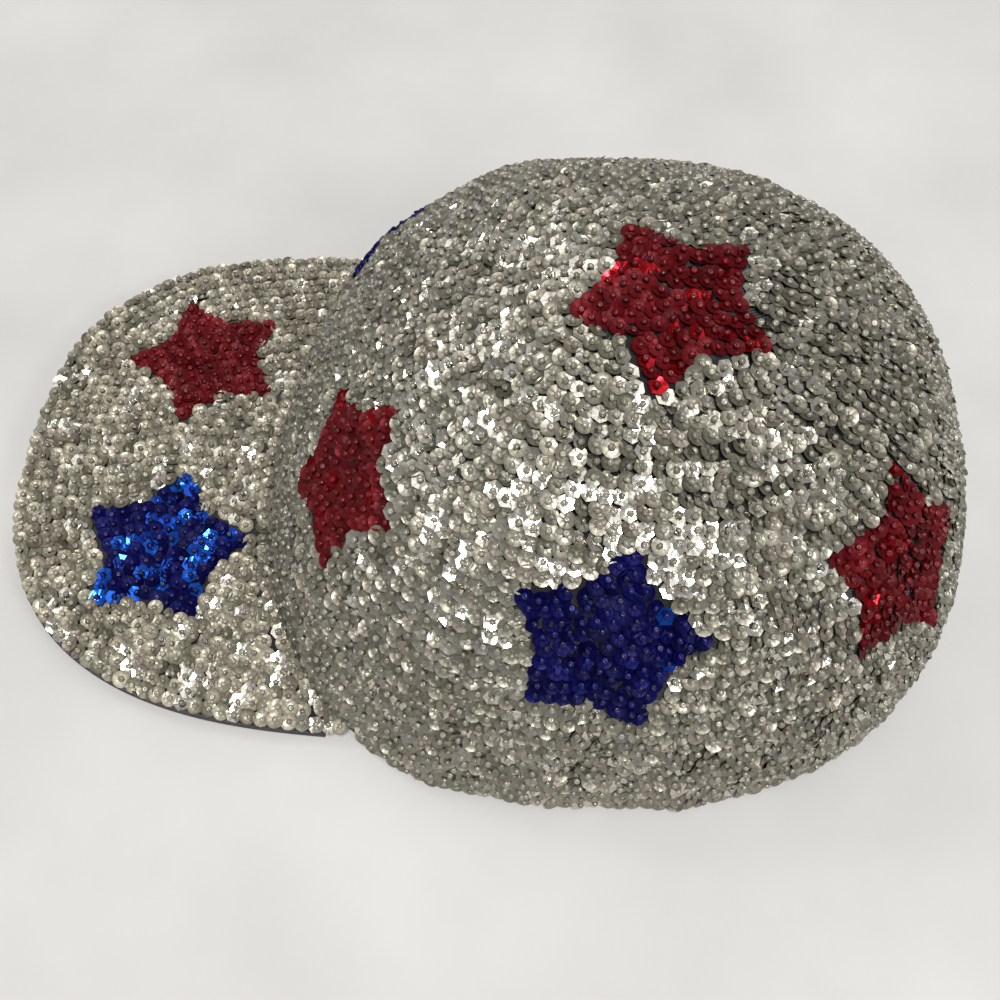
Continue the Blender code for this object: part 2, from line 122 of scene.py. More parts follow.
BILL_TRIALS = (0.0030, 0.095)

# Numbers of points in the fine lines that rows are measured along, and of steps onto the dome
SIDE_SAMPLES = 2000
RING_SAMPLES = 1441
BILL_SAMPLES = 3000
TOP_STEPS = 12
SIDE_STEPS = 14
STEP_SHARE = 0.8


# ---- dome and bill surfaces

def plan_radius(angle):
    """Radius of the hem at an angle from the front."""
    length = np.where(np.cos(angle) > 0, DOME_FRONT, DOME_BACK)
    total = (np.abs(np.sin(angle)) / DOME_HALF_WIDTH) ** DOME_PLAN_POWER
    total = total + (np.abs(np.cos(angle)) / length) ** DOME_PLAN_POWER
    return total ** (-1.0 / DOME_PLAN_POWER)


def dome_point(angle, level):
    """Points on the outer face of the crown cloth; level runs from 0 at the hem to 1 at the top."""
    sweep = np.clip(level, 0.0, 1.0) * math.pi / 2
    inwards = np.maximum(np.cos(sweep), 0.0) ** (2.0 / DOME_PROFILE_POWER)
    upwards = np.sin(sweep) ** (2.0 / DOME_PROFILE_POWER)
    radius = plan_radius(angle) * inwards
    x = radius * np.sin(angle)
    y = DOME_Y - radius * np.cos(angle) + DOME_LEAN * upwards
    return np.stack([x, y, DOME_HEIGHT * upwards + 0 * x], axis=-1)


def unit(v):
    return v / np.maximum(np.linalg.norm(v, axis=-1, keepdims=True), 1e-12)


def dome_basis(angle, level):
    """Point, unit directions round, up and out, and metres per unit of angle and of level."""
    angle = np.asarray(angle, float)
    level = np.clip(np.asarray(level, float), 0.0, DOME_TOP_LEVEL)
    step = 1e-4
    low = np.maximum(level - step, 0.0)
    point = dome_point(angle, level)
    around = (dome_point(angle + step, level) - dome_point(angle - step, level)) / (2 * step)
    upward = (dome_point(angle, level + step) - dome_point(angle, low)) / (level + step - low)[..., None]
    out = unit(np.cross(around, upward))
    size_around = np.linalg.norm(around, axis=-1)
    size_up = np.linalg.norm(upward, axis=-1)
    return point, unit(around), unit(np.cross(out, around)), out, size_around, size_up


def level_at_height(height):
    """Level of points of the dome at a height."""
    share = np.clip(np.asarray(height) / DOME_HEIGHT, 0.0, 1.0)
    return np.arcsin(share ** (DOME_PROFILE_POWER / 2)) * 2 / math.pi


def bill_height(x, y):
    """Height of the top cloth of the bill."""
    front = DOME_Y - DOME_FRONT
    return BILL_TOP - BILL_ARCH * (x / BILL_HALF_WIDTH) ** 2 + BILL_RISE * (front - y) / (front - BILL_TIP_Y)


def bill_basis(x, y):
    """Point of the bill's top cloth, and unit directions across, along and out."""
    point = np.stack([x, y, bill_height(x, y)], axis=-1)
    step = 1e-4
    slope_x = (bill_height(x + step, y) - bill_height(x - step, y)) / (2 * step)
    slope_y = (bill_height(x, y + step) - bill_height(x, y - step)) / (2 * step)
    across = unit(np.stack([np.ones_like(x), np.zeros_like(x), slope_x], axis=-1))
    along = unit(np.stack([np.zeros_like(x), np.ones_like(x), slope_y], axis=-1))
    return point, across, along, unit(np.cross(across, along))


def bill_edge(share, inset=0.0):
    """Plan points of the bill's free edge, or of a line inside it; share runs from -1 to 1."""
    corner_y = dome_point(np.array(BILL_CORNER), np.array(0.0))[1]
    turn = np.asarray(share, float) * math.pi / 2
    x = (BILL_HALF_WIDTH - inset) * np.sign(turn) * np.abs(np.sin(turn)) ** (2 / BILL_POWER)
    y = corner_y + (BILL_TIP_Y + inset - corner_y) * np.cos(turn) ** (2 / BILL_POWER)
    return np.stack([x, y], axis=-1)


def outside_crown(plan, margin):
    """True for plan points at least this far outside the hem of the crown."""
    dx = plan[..., 0]
    dy = plan[..., 1] - DOME_Y
    angle = np.arctan2(dx, -dy)
    return np.hypot(dx, dy) > plan_radius(angle) + margin


# ---- stars

def star_edge():
    """Distance of a star's edges from its centre."""
    half = math.pi / STAR_POINTS
    run = math.hypot(STAR_RADIUS - STAR_VALLEY * math.cos(half), STAR_VALLEY * math.sin(half))
    return STAR_RADIUS * STAR_VALLEY * math.sin(half) / run


STAR_EDGE = star_edge()


def star_polygon(margin=0.0):
    """Outline of a star, grown by a margin."""
    scale = (STAR_EDGE + margin) / STAR_EDGE
    turn = np.arange(2 * STAR_POINTS) * math.pi / STAR_POINTS
    radius = np.where(np.arange(2 * STAR_POINTS) % 2, STAR_VALLEY, STAR_RADIUS) * scale
    return np.stack([radius * np.sin(turn), radius * np.cos(turn)], axis=-1)


def inside_polygon(points, polygon):
    x, y = points[..., 0], points[..., 1]
    inside = np.zeros(x.shape, bool)
    for (x0, y0), (x1, y1) in zip(polygon, np.roll(polygon, -1, axis=0)):
        crosses = (y0 > y) != (y1 > y)
        with np.errstate(divide="ignore", invalid="ignore"):
            at = x0 + (y - y0) * (x1 - x0) / (y1 - y0)
        inside ^= crosses & (x < at)
    return inside


def along_polygon(polygon, pitch):
    """Points at an even pitch round a closed outline, with one at each outer tip."""
    found = []
    for start, end in zip(polygon, np.roll(polygon, -1, axis=0)):
        length = np.linalg.norm(end - start)
        count = max(1, int(round(length / pitch)))
        found += [start + (end - start) * k / count for k in range(count)]
    return np.array(found)


def star_fill():
    """Places of a star's sequins in its own plane: rows that follow its outline, and one in the middle."""
    rows = []
    margin = -STAR_INSET
    while STAR_EDGE + margin > STAR_MIDDLE:
        rows.append(along_polygon(star_polygon(margin), STAR_PITCH))
        margin -= STAR_ROW_PITCH
    points = np.concatenate(rows + [np.zeros((1, 2))])
    kept = []
    for point in points:
        if all(np.linalg.norm(point - other) > STAR_NEAREST for other in kept):
            kept.append(point)
    return np.array(kept)


class Star:
    """A star's plane: centre, right, up and out."""

    def __init__(self, centre, out, up, tilt):
        self.centre = np.array(centre, float)
        self.out = unit(np.array(out, float))
        up = np.array(up, float)
        up = unit(up - self.out * (up @ self.out))
        right = np.cross(up, self.out)
        turn = math.radians(tilt)
        self.up = up * math.cos(turn) + right * math.sin(turn)
        self.right = right * math.cos(turn) - up * math.sin(turn)

    def plane(self, points):
        """Where points lie in the star's plane."""
        away = points - self.centre
        return np.stack([away @ self.right, away @ self.up], axis=-1)

    def covers(self, points, margin):
        """True for points over the star, grown by a margin."""
        near = np.abs((points - self.centre) @ self.out) < STAR_DEPTH
        return inside_polygon(self.plane(points), star_polygon(margin)) & near


def crown_stars():
    stars = {}
    for panel, side in enumerate(SIDES):
        angle = (panel + STAR_SHARES[panel]) * PANEL
        point, _, _, out, _, _ = dome_basis(angle, level_at_height(STAR_HEIGHTS[panel]))
        stars[f"star_{STAR_COLOURS[panel]}_{side}"] = Star(point, out, (0, 0, 1), STAR_TILTS[panel])
    top = (TOP_STAR[0], TOP_STAR[1] + DOME_Y, DOME_HEIGHT)
    stars["star_red_top"] = Star(top, (0, 0, 1), (0, -1, 0), TOP_STAR_TILT)
    return stars


def bill_stars():
    stars = {}
    for colour, x, tilt in BILL_STARS:
        centre = (x, BILL_STAR_Y + DOME_Y, bill_height(x, BILL_STAR_Y + DOME_Y))
        stars[f"star_{colour}_bill"] = Star(centre, (0, 0, 1), (0, -1, 0), tilt)
    return stars


def on_dome(star, flat):
    """Angles and levels under points given in a star's plane."""
    start = star.centre
    angle = np.full(len(flat), math.atan2(start[0], -(start[1] - DOME_Y - DOME_LEAN)))
    level = np.full(len(flat), float(level_at_height(min(start[2], 0.96 * DOME_HEIGHT))))
    if abs(star.out[2]) > 0.99:
        world = star.centre + flat[:, :1] * star.right + flat[:, 1:] * star.up
        lift = np.ones(len(flat))
        for _ in range(TOP_STEPS):
            dx, dy = world[:, 0], world[:, 1] - DOME_Y - DOME_LEAN * lift
            angle = np.arctan2(dx, -dy)
            share = np.clip(np.hypot(dx, dy) / plan_radius(angle), 0, 1)
            level = np.arccos(share ** (DOME_PROFILE_POWER / 2)) * 2 / math.pi
            lift = np.sin(level * math.pi / 2) ** (2 / DOME_PROFILE_POWER)
        return angle, level
    for _ in range(SIDE_STEPS):
        point, around, upward, _, size_around, size_up = dome_basis(angle, level)
        miss = flat - star.plane(point)
        a = np.stack([around @ star.right, around @ star.up], axis=-1) * size_around[:, None]
        b = np.stack([upward @ star.right, upward @ star.up], axis=-1) * size_up[:, None]
        det = a[:, 0] * b[:, 1] - a[:, 1] * b[:, 0]
        angle = angle + STEP_SHARE * (miss[:, 0] * b[:, 1] - miss[:, 1] * b[:, 0]) / det
        level = level + STEP_SHARE * (a[:, 0] * miss[:, 1] - a[:, 1] * miss[:, 0]) / det
        level = np.clip(level, 0.01, 0.99)
    return angle, level


# ---- places of the sequins

def run_along(points, axis=0):
    """Distance along a line at each of its points; a grid has a line for each of its columns, or rows."""
    steps = np.linalg.norm(np.diff(points, axis=axis), axis=-1)
    return np.concatenate([np.zeros_like(steps.take([0], axis)), np.cumsum(steps, axis=axis)], axis=axis)


def even_levels(first, pitch):
    """Levels a pitch apart up the side of the dome, starting this far above the hem."""
    fine = np.linspace(0, 1, SIDE_SAMPLES)
    length = run_along(dome_point(np.full(SIDE_SAMPLES, math.pi / 2), fine))
    count = int((length[-1] - first) / pitch)
    return np.interp(first + pitch * np.arange(count + 1), length, fine)


def ring_angles(level, pitch):
    """Angles an even pitch apart round the dome at a level."""
    fine = np.linspace(-math.pi, math.pi, RING_SAMPLES)
    length = run_along(dome_point(fine, np.full(RING_SAMPLES, level)))
    count = max(3, int(round(length[-1] / pitch)))
    start = RNG.random() * length[-1] / count
    return np.interp(start + length[-1] * np.arange(count) / count, length, fine)


def hem_level(angle, clear):
    """Lowest level for a row's centre: the first row, or this far above the bill in front."""
    edge = dome_point(angle, np.zeros_like(angle))
    over_bill = bill_height(edge[..., 0], edge[..., 1]) + clear
    height = np.where(np.abs(wrapped(angle)) < JOIN_CORNER, over_bill, LOWEST_ROW)
    return level_at_height(height)


def wrapped(angle):
    """The same angle between minus and plus half a turn."""
    return (angle + math.pi) % (2 * math.pi) - math.pi


def tree_of(points):
    tree = KDTree(len(points))
    for index, place in enumerate(points):
        tree.insert(place, index)
    tree.balance()
    return tree


def push_apart(points, fixed):
    """Moves that part crowded points; the first ones stay put, and the others go twice as far from them."""
    tree = tree_of(points)
    move = np.zeros_like(points)
    for index in range(fixed, len(points)):
        for place, other, distance in tree.find_range(points[index], CROWDED):
            if other != index and distance > 1e-7:
                share = 0.25 if other >= fixed else 0.5
                move[index] += (points[index] - place) * (share * (CROWDED - distance) / distance)
    return move


def gaps(points, candidates):
    """Indices of candidates that lie in gaps between the points, none of them near another."""
    tree = tree_of(points)
    found = []
    for index, place in enumerate(candidates):
        if tree.find(place)[2] < GAP:
            continue
        if found and np.linalg.norm(candidates[found] - place, axis=1).min() < GAP:
            continue
        found.append(index)
    return found


def owner_at(point, stars, ground):
    """Name of the star that covers a point, or of the ground."""
    inside = [name for name, star in stars.items() if star.covers(point[None], STAR_MARGIN)[0]]
    return inside[0] if inside else ground


def crown_places(stars):
    """Angle, level and piece name of every sequin on the crown."""
    angles, levels, owners = [], [], []

    def add(angle, level, owner):
        angles.append(angle)
        levels.append(level)
        owners.extend([owner] * len(angle))

    def settle(angle, level, fixed):
        for _ in range(SETTLE_ROUNDS):
            point, around, upward, _, size_around, size_up = dome_basis(angle, level)
            move = push_apart(point, fixed)
            angle = angle + (move * around).sum(-1) / np.maximum(size_around, 1e-4)
            level = level + (move * upward).sum(-1) / size_up
            level = np.maximum(np.minimum(level, TOP_ROW_LEVEL), hem_level(angle, JOIN_NEAREST))
        return angle, level

    for name, star in stars.items():
        fill = star_fill()
        add(*on_dome(star, fill + RNG.normal(0, STAR_JITTER, fill.shape)), name)
    fixed = len(owners)
    join = ring_angles(float(level_at_height(BILL_TOP)), PITCH)
    join = wrapped(join[np.abs(wrapped(join)) < BILL_CORNER])
    add(join, hem_level(join, JOIN_ROW), "silver")
    for level in even_levels(HEM_ROW, ROW_PITCH):
        ring = ring_angles(level, PITCH)
        here = np.full(len(ring), level)
        keep = here >= np.where(np.abs(ring) < BILL_CORNER, hem_level(ring, JOIN_ROW + NEXT_ROW),
                                hem_level(ring, JOIN_ROW))
        points = dome_point(ring, here)
        for star in stars.values():
            keep &= ~star.covers(points, STAR_CLEAR)
        add(ring[keep], here[keep], "silver")
    angle, level = settle(np.concatenate(angles), np.concatenate(levels), fixed)
    trial = np.array([(a, t) for t in even_levels(HEM_ROW, TRIAL_PITCH) for a in ring_angles(t, TRIAL_PITCH)])
    trial = trial[trial[:, 1] >= hem_level(trial[:, 0], JOIN_ROW)]
    spots = dome_point(trial[:, 0], trial[:, 1])
    found = gaps(dome_point(angle, level), spots)
    for index in found:
        owners.append(owner_at(spots[index], stars, "silver"))
    angle = np.concatenate([angle, trial[found, 0]])
    level = np.concatenate([level, trial[found, 1]])
    angle, level = settle(angle, level, fixed)
    panels = ((angle % (2 * math.pi)) // PANEL).astype(int) % 6
    names = np.array([f"silver_cover_{SIDES[p]}" if o == "silver" else o for o, p in zip(owners, panels)])
    return angle, level, names


def even_along(line, pitch, start):
    """Points an even pitch apart along a fine line; columns after the third are only read off along it."""
    length = run_along(line[:, :3])
    count = int(length[-1] / pitch)
    at = (start + np.arange(count)) * length[-1] / count
    return np.stack([np.interp(at, length, line[:, k]) for k in range(line.shape[1])], axis=-1)


def bill_places(stars):
    """Plan point and piece name of every sequin on the bill."""
    plans, owners = [], []

    def add(plan, owner):
        plans.append(plan)
        owners.extend([owner] * len(plan))

    def settle(plan, fixed):
        for _ in range(SETTLE_ROUNDS):
            plan = plan + push_apart(lifted(plan), fixed)[:, :2]
        return plan

    for name, star in stars.items():
        flat = star_fill()
        flat = flat + RNG.normal(0, STAR_JITTER, flat.shape)
        add((star.centre + flat[:, :1] * star.right + flat[:, 1:] * star.up)[:, :2], name)
    fine = np.linspace(-1, 1, BILL_SAMPLES)
    edge = even_along(bill_edge(fine, BILL_EDGE_ROW), BILL_EDGE_PITCH, 0.5)
    add(edge[outside_crown(edge, JOIN_ROW)], "silver_cover_bill")
    turn = fine * BILL_CORNER
    reach = plan_radius(turn) + JOIN_ROW
    seam = np.stack([reach * np.sin(turn), DOME_Y - reach * np.cos(turn)], axis=-1)
    add(even_along(seam, PITCH, 0.5), "silver_cover_bill")
    fixed = len(owners)
    for inset in BILL_EDGE_ROW + ROW_PITCH * np.arange(1, BILL_ROWS + 1):
        plan = even_along(bill_edge(fine, inset), PITCH, RNG.random())
        keep = outside_crown(plan, JOIN_ROW + NEXT_ROW)
        for star in stars.values():
            keep &= ~star.covers(lifted(plan), STAR_CLEAR)
        add(plan[keep], "silver_cover_bill")
    plan = settle(np.concatenate(plans), fixed)
    trial = np.concatenate([even_along(bill_edge(fine, inset), TRIAL_PITCH, RNG.random())
                            for inset in np.arange(*BILL_TRIALS, TRIAL_PITCH)])
    trial = trial[outside_crown(trial, JOIN_ROW)]
    spots = lifted(trial)
    found = gaps(lifted(plan), spots)
    for index in found:
        owners.append(owner_at(spots[index], stars, "silver_cover_bill"))
    return settle(np.concatenate([plan, trial[found]]), fixed), np.array(owners)


def lifted(plan, depth=0.0):
    """Points of the bill's top cloth over plan points, or this deep below them."""
    height = bill_height(plan[..., 0], plan[..., 1]) - depth
    return np.concatenate([plan, height[..., None]], axis=-1)


# ---- sequin and bead meshes

def ring_quads(rings, sides):
    """Quads between rings of points, in order from the first ring outwards."""
    quads = []
    for ring in range(rings - 1):
        for k in range(sides):
            n = (k + 1) % sides
            a, b = ring * sides, (ring + 1) * sides
            quads.append((a + k, b + k, b + n, a + n))
    return quads


def cup_sequin(sides=12):
    """A cup sequin, hollow side up: points and quads."""
    rings = ((0.00044, 0.0), (0.00104, 0.00005), (0.00172, 0.00024), (SEQUIN_RADIUS, 0.00050))
    turn = (np.arange(sides) + 0.5) * 2 * math.pi / sides
    points = [(r * math.cos(t), r * math.sin(t), z) for r, z in rings for t in turn]
    return np.array(points), np.array(ring_quads(len(rings), sides))


def facet_sequin(corners=6):
    """A cup sequin with flat facets, which flash as a whole; it has as many points as a round one."""
    rings = ((0.00044, 0.0), (0.00100, 0.0), (0.00160, 0.00011), (SEQUIN_RADIUS * 1.04, 0.00024))
    turn = np.arange(2 * corners) * math.pi / corners
    flat = np.where(np.arange(2 * corners) % 2, math.cos(math.pi / corners), 1.0)
    points = [(r * f * math.cos(t), r * f * math.sin(t), z) for r, z in rings for t, f in zip(turn, flat)]
    return np.array(points), np.array(ring_quads(len(rings), 2 * corners))


def seed_bead(sides=8):
    """A round seed bead with the thread pulled down into its hole: points and quads."""
    rings = ((0.00020, 0.00036), (0.00044, 0.00052), (0.00072, 0.00032), (0.00081, -0.00004),
             (0.00065, -0.00042))
    turn = np.arange(sides) * 2 * math.pi / sides
    points = [(r * math.cos(t), r * math.sin(t), z) for r, z in rings for t in turn]
    middle = [(0, 1, 2, 3), (0, 3, 4, 7), (4, 5, 6, 7)]
    return np.array(points), np.array(middle + ring_quads(len(rings), sides))


def rotation(vectors):
    """Rotation matrices from rotation vectors."""
    angle = np.linalg.norm(vectors, axis=-1)
    axis = vectors / np.maximum(angle, 1e-9)[:, None]
    x, y, z = axis.T
    zero = np.zeros_like(x)
    cross = np.stack([zero, -z, y, z, zero, -x, -y, x, zero], axis=-1).reshape(-1, 3, 3)
    sin = np.sin(angle)[:, None, None]
    cos = np.cos(angle)[:, None, None]
    return np.eye(3) + sin * cross + (1 - cos) * (cross @ cross)


def copies(name, shape, places, turns, sizes, smooth, material):
    """One mesh with a copy of a shape at each place; its UV map is the plan of the shape, in sequin radii."""
    points, quads = shape
    count = len(places)
    moved = np.einsum("nij,vj->nvi", turns, points) * sizes[:, None, None] + places[:, None, :]
    faces = quads[None] + (np.arange(count) * len(points))[:, None, None]
    mesh = bpy.data.meshes.new(name)
    mesh.vertices.add(count * len(points))
    mesh.vertices.foreach_set("co", moved.astype(np.float32).ravel())
    mesh.loops.add(faces.size)
    mesh.loops.foreach_set("vertex_index", faces.astype(np.int32).ravel())
    total = count * len(quads)
    mesh.polygons.add(total)
    mesh.polygons.foreach_set("loop_start", (np.arange(total) * 4).astype(np.int32))
    mesh.polygons.foreach_set("use_smooth", np.full(total, smooth))
    mesh.update(calc_edges=True)
    own = (points[:, :2] / SEQUIN_RADIUS)[quads.ravel()]
    layer = mesh.uv_layers.new(name="UVMap")
    layer.data.foreach_set("uv", np.tile(own, (count, 1)).astype(np.float32).ravel())
    mesh.materials.append(material)
    return add_piece(name, mesh)


def add_piece(name, mesh):
    """Puts a mesh in the scene as a piece that rides on the cap's one body."""
    obj = bpy.data.objects.new(name, mesh)
    bpy.context.scene.collection.objects.link(obj)
    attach(obj, "root")
    return obj


# ---- sewing

SEQUIN_LIFT = 0.00050
LIFT_SPREAD = 0.00045
BEAD_LIFT = 0.00060
LEAN_ALONG_ROW = math.radians(8.0)
LEAN_UP = math.radians(13.0)
LEAN_SPREAD = math.radians(10.5)
LEAN_SPREAD_POLISHED = math.radians(7.0)
# Painted light: how many of each piece's sequins are bright polished ones follows how the lamps fall on it:
# many on the bill's blue star, which faces the strongest lamp, few on the crown's blue star, which faces
# away, and fewer on the bill's silver and red, where lamp reflections are kept down
POLISHED_SHARE_BY_LIGHT = {"silver": 0.48, "silver_cover_bill": 0.13, "red": 0.10, "star_red_top": 0.16,
                  "star_red_bill": 0.03, "blue": 0.10, "star_blue_left": 0.04, "star_blue_bill": 0.36}
# Painted shade: fewer of the bright polished sequins low on the crown, so it is darker towards the hem
HEM_SHADE_HEIGHTS = (0.024, 0.054)
HEM_SHADE_SHARE = 0.26
BILL_PUCKERED = 0.45
LEAN_FADE = 0.30
CUP_DEPTHS = (0.35, 1.10)
SIZE_SPREAD = 0.04
PUCKER_SLOPE = 0.12
PUCKER_WAVES = 14
PUCKER_LENGTHS = (0.018, 0.042)
PUCKER_LIFT = 0.6
PUCKER_LIFTS = (-0.0003, 0.0006)
BEAD_SPREAD = math.radians(30.0)
BEAD_SHIFT = 0.00018


def random_waves():
    """Wave vectors, heights and phases of the puckers that sewing leaves in the cloth."""
    direction = unit(RNG.normal(size=(PUCKER_WAVES, 3)))
    number = 2 * math.pi / RNG.uniform(*PUCKER_LENGTHS, PUCKER_WAVES)
    height = PUCKER_SLOPE * math.sqrt(2.0 / PUCKER_WAVES) / number
    return direction * number[:, None], height, RNG.uniform(0, 2 * math.pi, PUCKER_WAVES)


WAVES = random_waves()


def pucker(point):
    """Height of the puckers over the smooth cloth, and its slope in space."""
    vectors, height, phase = WAVES
    turn = point @ vectors.T + phase
    return np.sin(turn) @ height, (np.cos(turn) * height) @ vectors


def sew(node, point, around, upward, out, lean_up, puckered, materials):
    """Sequins and beads of one piece of covering, standing for its CAD node."""
    count = len(point)
    colour = node.split("_")[1] if node.startswith("star") else "silver"
    where = node.replace("silver_cover_", "").replace(f"star_{colour}_", "star_")
    # Painted light: the share of bright polished sequins is set by how light falls on this piece
    share = POLISHED_SHARE_BY_LIGHT.get(node, POLISHED_SHARE_BY_LIGHT[colour])
    # Painted shade: on the crown, the share of polished sequins falls towards the hem
    if "bill" not in node:
        share = share * np.interp(point[:, 2], HEM_SHADE_HEIGHTS, (HEM_SHADE_SHARE, 1.0))
    polished = RNG.random(count) < share
    basis = np.stack([around, upward, out], axis=-1)
    bulge, slope = pucker(point)
    lean = RNG.normal(0, 1, (count, 3)) * np.where(polished, LEAN_SPREAD_POLISHED, LEAN_SPREAD)[:, None]
    lean[:, 0] += (slope * upward).sum(-1) * puckered - lean_up
    lean[:, 1] += LEAN_ALONG_ROW - (slope * around).sum(-1) * puckered
    lean[:, 2] = 0.0
    spin = np.zeros((count, 3))
    spin[:, 2] = RNG.random(count) * math.pi
    turn = basis @ rotation(lean)
    cup = turn @ rotation(spin)
    cup[:, :, 2] *= RNG.uniform(*CUP_DEPTHS, count)[:, None]
    lift = SEQUIN_LIFT + RNG.random(count) * LIFT_SPREAD
    lift = lift + np.clip(bulge * puckered * PUCKER_LIFT, *PUCKER_LIFTS)
    place = point + out * lift[:, None]
    size = RNG.normal(1.0, SIZE_SPREAD, count)
    pieces = []
    for kind, mine, shape in (("satin", ~polished, cup_sequin()), ("polished", polished, facet_sequin())):
        if mine.any():
            name = f"{kind}_{colour}_{where}"
            material = materials.get(name, materials[f"{kind}_{colour}"])
            pieces.append(copies(name, shape, place[mine], cup[mine], size[mine], kind == "satin", material))
    tip = np.zeros((count, 3))
    tip[:, :2] = RNG.normal(0, BEAD_SPREAD, (count, 2))
    shift = RNG.normal(0, BEAD_SHIFT, (count, 2))
    bead_place = place + turn[:, :, 2] * BEAD_LIFT
    bead_place = bead_place + turn[:, :, 0] * shift[:, :1] + turn[:, :, 1] * shift[:, 1:]
    pieces.append(copies(f"beads_{colour}_{where}", seed_bead(), bead_place, turn @ rotation(tip), size, True,
                         materials[f"bead_{colour}"]))
    for piece in pieces:
        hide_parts(node)


def sew_pieces(names, places, puckered, materials):
    """Sews the pieces of covering one by one; places are the arrays that sew takes, from point to lean_up."""
    for name in sorted(set(names)):
        mine = names == name
        sew(name, *[values[mine] for values in places], puckered, materials)


def build_covering(materials):
    """All the sequins and beads, of the crown and then of the bill."""
    angle, level, names = crown_places(crown_stars())
    lean_up = LEAN_UP * np.minimum((1.0 - level) / LEAN_FADE, 1.0)
    sew_pieces(names, (*dome_basis(angle, level)[:4], lean_up), 1.0, materials)
    plan, names = bill_places(bill_stars())
    sew_pieces(names, (*bill_basis(plan[:, 0], plan[:, 1]), np.zeros(len(plan))), BILL_PUCKERED, materials)


# ---- materials

# Flutes pressed round a sequin, and how far the scratch lines lighten and darken its tone as painted
# highlight
FLUTES = 6.0
FLUTE_DEPTH = 0.00010
STREAK_HIGHLIGHTS = 0.22


class Paint:
    """The nodes of a material or of the world, with short ways to add to them."""

    def __init__(self, owner, shader="Principled BSDF"):
        owner.use_nodes = True
        self.owner = owner
        self.tree = owner.node_tree
        self.shader = self.tree.nodes[shader]

    def feed(self, node, values):
        """Gives a node's sockets their values: plain ones, or what comes out of other nodes."""
        for name, value in values.items():
            socket = node.inputs[name]
            if isinstance(value, bpy.types.NodeSocket):
                self.tree.links.new(value, socket)
            else:
                socket.default_value = value

    def add(self, kind, output, values=None, **settings):
        """Adds a node and returns one of its outputs."""
        node = self.tree.nodes.new(kind)
        for name, value in settings.items():
            setattr(node, name, value)
        self.feed(node, values or {})
        return node.outputs[output]

    def finish(self, values):
        """Feeds the shader, and returns the finished material or world."""
        self.feed(self.shader, values)
        return self.owner

    def noise(self, scale, detail):
        place = self.add("ShaderNodeTexCoord", "Object")
        return self.add("ShaderNodeTexNoise", "Fac", {"Scale": scale, "Detail": detail, "Vector": place})

    def between(self, source, low, high, from_low=0.0, from_high=1.0):
        return self.add("ShaderNodeMapRange", "Result", {
            "Value": source, "From Min": from_low, "From Max": from_high, "To Min": low, "To Max": high})

    def calculate(self, operation, *values):
        return self.add("ShaderNodeMath", "Value", dict(enumerate(values)), operation=operation)

    def bump(self, height, strength, distance):
        values = {"Height": height, "Strength": strength, "Distance": distance}
        return self.add("ShaderNodeBump", "Normal", values)

    def uv(self):
        """The two halves of the UV map."""
        place = self.add("ShaderNodeUVMap", "UV", uv_map="UVMap")
        split = self.add("ShaderNodeSeparateXYZ", "X", {"Vector": place}).node
        return split.outputs["X"], split.outputs["Y"]

    def ramp(self, source, stops):
        ramp = self.add("ShaderNodeValToRGB", "Color", {"Fac": source}).node
        elements = ramp.color_ramp.elements
        while len(elements) < len(stops):
            elements.new(0.5)
        for element, (position, colour) in zip(elements, stops):
            element.position = position
            element.color = (*colour, 1.0)
        return ramp.outputs["Color"]


def flutes(paint, random):
    """Height of the flutes pressed into a sequin, and of the fine scratch lines that run out from its middle;
    the scratch lines also paint highlights into the sequin's tone.
    """
    across, along = paint.uv()
    angle = paint.calculate("ARCTAN2", along, across)
    wave = paint.calculate("SINE", paint.calculate("MULTIPLY", angle, FLUTES))
    square = paint.calculate("ADD", paint.calculate("MULTIPLY", across, across),
                             paint.calculate("MULTIPLY", along, along))
    polar = paint.add("ShaderNodeCombineXYZ", "Vector", {
        "X": paint.calculate("MULTIPLY", angle, 3.2), "Y": paint.calculate("MULTIPLY", random, 90.0),
        "Z": paint.calculate("SQRT", square)})
    scratches_and_highlights = paint.add("ShaderNodeTexNoise", "Fac", {"Scale": 1.6, "Detail": 3.0, "Vector": polar})
    return wave, scratches_and_highlights


def sequin_material(name, tones, metallic, roughness, relief, coat=0.0, specular=0.5):
    """Metallised film: a tone for each sequin, scratch lines out from its middle in its relief and as painted
    highlight in its tone, and smears of dullness.
    """
    paint = Paint(bpy.data.materials.new(name))
    random = paint.add("ShaderNodeNewGeometry", "Random Per Island")
    wave, scratches_and_highlights = flutes(paint, random)
    tone = paint.ramp(random, [(k / (len(tones) - 1), tone) for k, tone in enumerate(tones)])
    # Painted highlight: lighter and darker lines out from each sequin's middle, on top of its own tone
    streak_highlights = paint.between(scratches_and_highlights, 1.0 - STREAK_HIGHLIGHTS, 1.0 + STREAK_HIGHLIGHTS, 0.3, 0.7)
    tone_with_highlights = paint.add("ShaderNodeVectorMath", "Vector", {0: tone, "Scale": streak_highlights}, operation="SCALE")
    return paint.finish({
        "Base Color": tone_with_highlights,
        "Roughness": paint.between(paint.noise(700.0, 3.0), *roughness, 0.3, 0.7),
        "Normal": paint.bump(paint.calculate("ADD", wave, scratches_and_highlights), relief, FLUTE_DEPTH),
        "Metallic": metallic, "Specular IOR Level": specular,
        "Coat Weight": coat, "Coat Roughness": 0.07, "Coat IOR": 2.0})


